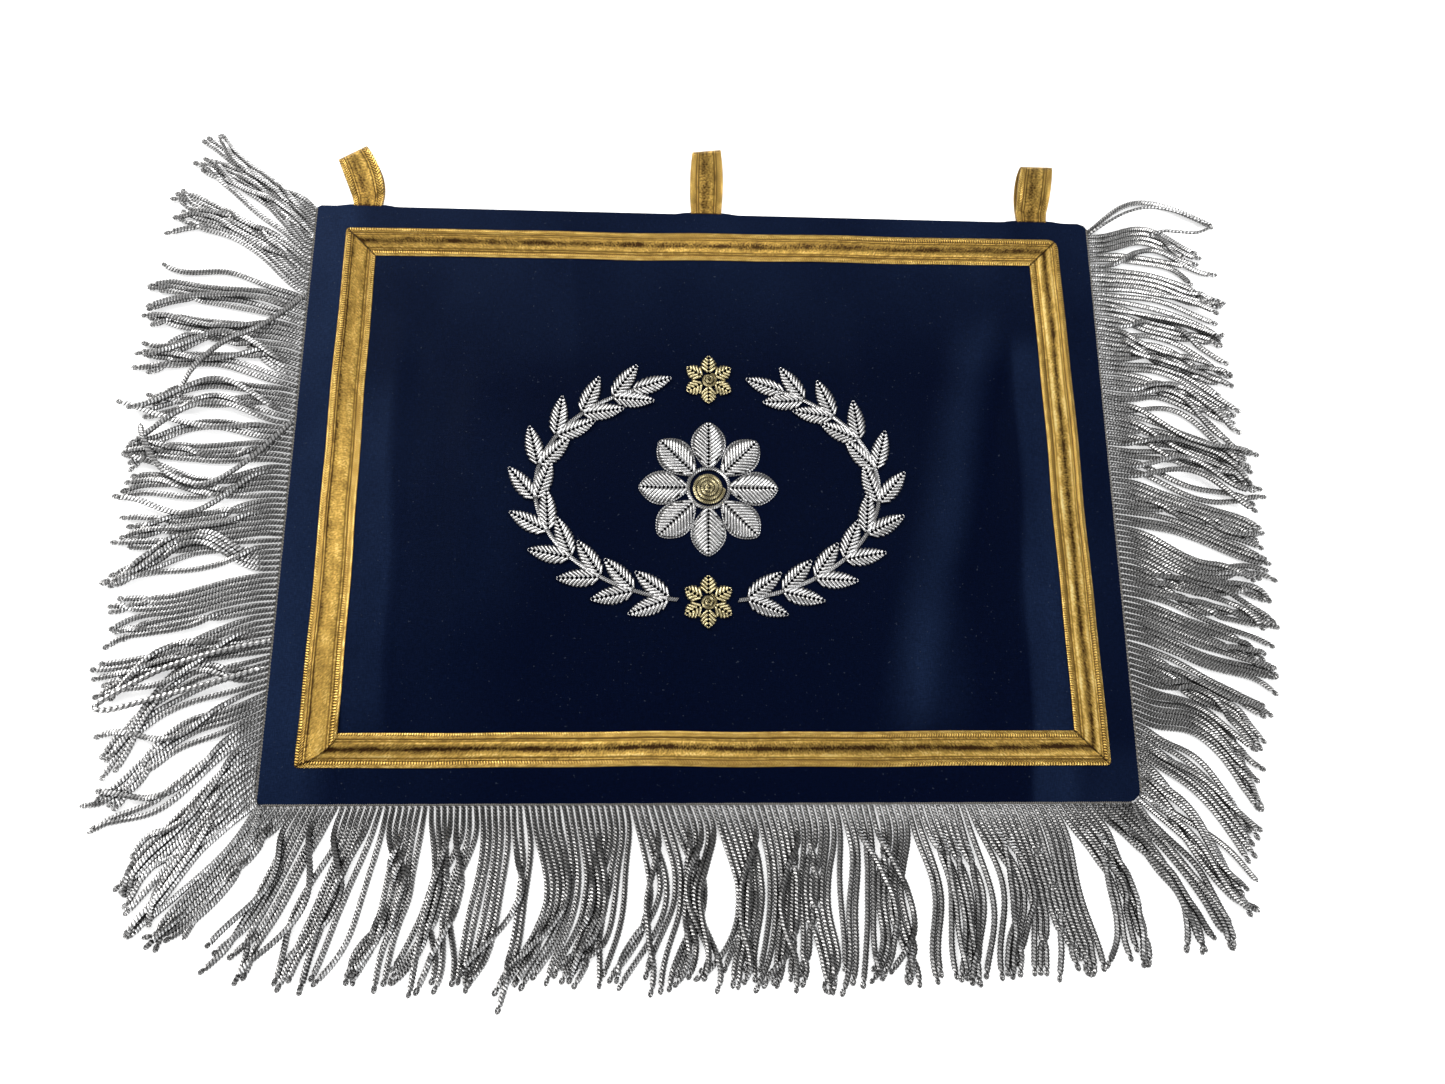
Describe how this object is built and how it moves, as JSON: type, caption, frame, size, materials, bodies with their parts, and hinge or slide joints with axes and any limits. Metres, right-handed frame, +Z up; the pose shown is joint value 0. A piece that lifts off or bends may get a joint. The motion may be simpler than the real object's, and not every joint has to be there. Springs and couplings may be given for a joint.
{
  "type": "fringed rank flag",
  "caption": "Dark blue cloth flag lying face up, with a gold braid border, a raised bullion garland and rosette, braid hanging loops and long silver cord fringe.",
  "frame": {"origin": "under the middle of the cloth field, on the surface that the flag lies on", "axes": "+X along the top edge, to the right of someone who looks at the embroidery, +Y towards the hanging loops, +Z up out of the face"},
  "size_m": [0.6702, 0.5152, 0.0092],
  "materials": {
    "cloth": "fine satin-faced dark blue cloth, soft sheen",
    "gold_braid": "woven metallic gold braid, slightly tarnished",
    "silver_fringe": "twisted silver metal thread cords",
    "silver_bullion": "laid silver bullion wire over padding",
    "pale_gold_bullion": "laid pale gold bullion wire over padding"
  },
  "bodies": {
    "root": {"field": "cloth", "braid_top": "gold_braid", "braid_left": "gold_braid", "braid_bottom": "gold_braid", "braid_right": "gold_braid", "loop_left": "gold_braid", "loop_middle": "gold_braid", "loop_right": "gold_braid", "fringe_left": "silver_fringe", "fringe_bottom": "silver_fringe", "fringe_right": "silver_fringe", "garland_left": "silver_bullion", "garland_right": "silver_bullion", "rosette": "silver_bullion", "rosette_centre": "pale_gold_bullion", "flower_top": "pale_gold_bullion", "flower_bottom": "pale_gold_bullion"}
  },
  "joints": []
}
